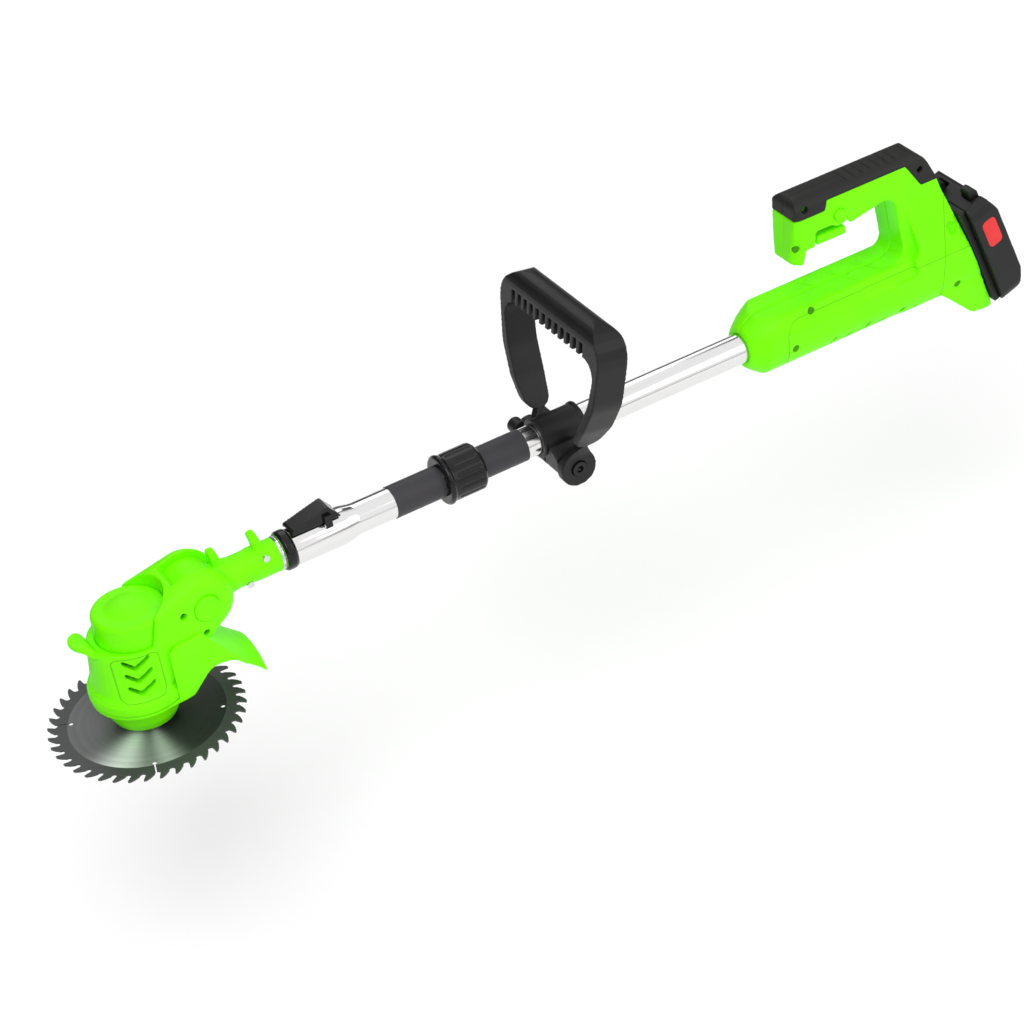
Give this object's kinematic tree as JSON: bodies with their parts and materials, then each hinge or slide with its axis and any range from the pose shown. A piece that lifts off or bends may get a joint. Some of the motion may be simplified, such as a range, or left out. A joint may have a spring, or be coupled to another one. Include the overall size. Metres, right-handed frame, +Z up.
{
  "type": "cordless garden trimmer",
  "caption": "Battery garden trimmer and brush cutter with a toothed round blade, tilting head, telescoping shaft, loop handle and slide-on battery",
  "frame": {"origin": "middle of the rear hand grip", "axes": "+X along the shaft from the blade head towards the battery, +Z up from the shaft to the grip, +Y to the left seen from behind the battery"},
  "size_m": [0.8835, 0.152, 0.2208],
  "materials": {
    "green_shell": "smooth moulded, semi-gloss",
    "black_plastic": "finely grained moulding",
    "black_gloss": "polished moulding",
    "soft_grip": "soft over-moulded grip",
    "sleeve": "smooth satin sleeve",
    "tube_chrome": "bright plated tube",
    "steel": "bright zinc-plated fixings",
    "blade_steel": "ground steel, dark with a lighter toothed rim",
    "motor_steel": "drawn steel can",
    "copper": "enamelled windings",
    "nylon": "natural nylon",
    "lead_rubber": "flexible insulated lead",
    "contact_brass": "bare contact blades",
    "cell_wrap": "shrink-wrapped cells",
    "label_red": "printed film label"
  },
  "bodies": {
    "handle": {"upper_tube": "tube_chrome", "rear_sleeve": "sleeve", "collet": "nylon", "housing_left": "green_shell", "housing_right": "green_shell", "grip_pad_left": "soft_grip", "grip_pad_right": "soft_grip", "housing_screws": "steel", "trigger_pin": "steel", "power_switch": "black_plastic", "handle_lead": "lead_rubber", "battery_rail": "black_plastic", "terminal_block": "contact_brass"},
    "trigger": {"trigger": "green_shell"},
    "lock_button": {"lock_button": "green_shell"},
    "battery": {"battery_base": "black_plastic", "battery_cover": "black_plastic", "battery_cells": "cell_wrap", "battery_label": "label_red"},
    "battery_latch": {"battery_latch": "black_plastic"},
    "clamp": {"clamp_left": "black_plastic", "clamp_right": "black_plastic", "pivot_bolt": "black_gloss"},
    "loop_handle": {"loop_handle": "black_plastic"},
    "wing_knob": {"wing_knob": "black_plastic"},
    "collar": {"collar_nut": "black_gloss"},
    "lower_shaft": {"inner_tube": "tube_chrome", "front_sleeve": "sleeve", "lower_tube": "tube_chrome", "lock_ring": "black_gloss", "lever_pin": "black_gloss", "coiled_lead": "lead_rubber"},
    "release_lever": {"release_lever": "black_plastic"},
    "neck": {"neck_left": "green_shell", "neck_right": "green_shell", "neck_screws": "steel", "detent_ring": "steel"},
    "head": {"head_left": "green_shell", "head_right": "green_shell", "motor_cap": "green_shell", "blade_guard": "green_shell", "head_screws": "steel", "hinge_bolt": "steel", "motor_can": "motor_steel", "upper_bearing": "steel", "lower_bearing": "steel"},
    "angle_button": {"angle_button": "green_shell"},
    "blade": {"motor_rotor": "copper", "spindle": "steel", "inner_flange": "steel", "saw_blade": "blade_steel", "outer_flange": "steel", "blade_nut": "steel"}
  },
  "joints": [
    {"name": "trigger_pull", "type": "hinge", "parent": "handle", "child": "trigger", "pos_m": [-0.0425, 0, -0.0215], "axis": [0, -1, 0], "range_deg": [0, 6], "stiffness_Nm_per_rad": 0.15},
    {"name": "lock_press", "type": "slide", "parent": "handle", "child": "lock_button", "axis": [0, 1, 0], "range_m": [0, 0.004], "stiffness_N_per_m": 150},
    {"name": "battery_slide", "type": "slide", "parent": "handle", "child": "battery", "axis": [-0.3256, 0, 0.9455], "range_m": [0, 0.09]},
    {"name": "latch_pull", "type": "slide", "parent": "battery", "child": "battery_latch", "axis": [0.9455, 0, 0.3256], "range_m": [0, 0.003], "stiffness_N_per_m": 300},
    {"name": "clamp_slide", "type": "slide", "parent": "handle", "child": "clamp", "axis": [1, 0, 0], "range_m": [0, 0.06]},
    {"name": "loop_tilt", "type": "hinge", "parent": "clamp", "child": "loop_handle", "pos_m": [-0.28, 0, -0.121], "axis": [0, 1, 0], "range_deg": [-45, 40]},
    {"name": "knob_turn", "type": "hinge", "parent": "clamp", "child": "wing_knob", "pos_m": [-0.28, 0, -0.121], "axis": [0, 1, 0], "continuous": true},
    {"name": "collar_turn", "type": "hinge", "parent": "handle", "child": "collar", "pos_m": [-0.369, 0, -0.1], "axis": [1, 0, 0], "range_deg": [0, 90]},
    {"name": "telescope", "type": "slide", "parent": "handle", "child": "lower_shaft", "axis": [-1, 0, 0], "range_m": [0, 0.24]},
    {"name": "lever_press", "type": "hinge", "parent": "lower_shaft", "child": "release_lever", "pos_m": [-0.4865, 0, -0.0815], "axis": [0, 1, 0], "range_deg": [0, 3.5], "stiffness_Nm_per_rad": 0.15},
    {"name": "neck_swivel", "type": "hinge", "parent": "lower_shaft", "child": "neck", "pos_m": [-0.5295, 0, -0.1], "axis": [1, 0, 0], "range_deg": [0, 90]},
    {"name": "head_tilt", "type": "hinge", "parent": "neck", "child": "head", "pos_m": [-0.6005, 0, -0.1], "axis": [0, 1, 0], "range_deg": [0, 50]},
    {"name": "angle_press", "type": "slide", "parent": "head", "child": "angle_button", "axis": [0, 1, 0], "range_m": [0, 0.004], "stiffness_N_per_m": 150},
    {"name": "blade_spin", "type": "hinge", "parent": "head", "child": "blade", "pos_m": [-0.6565, 0, -0.191], "axis": [0, 0, -1], "continuous": true}
  ]
}
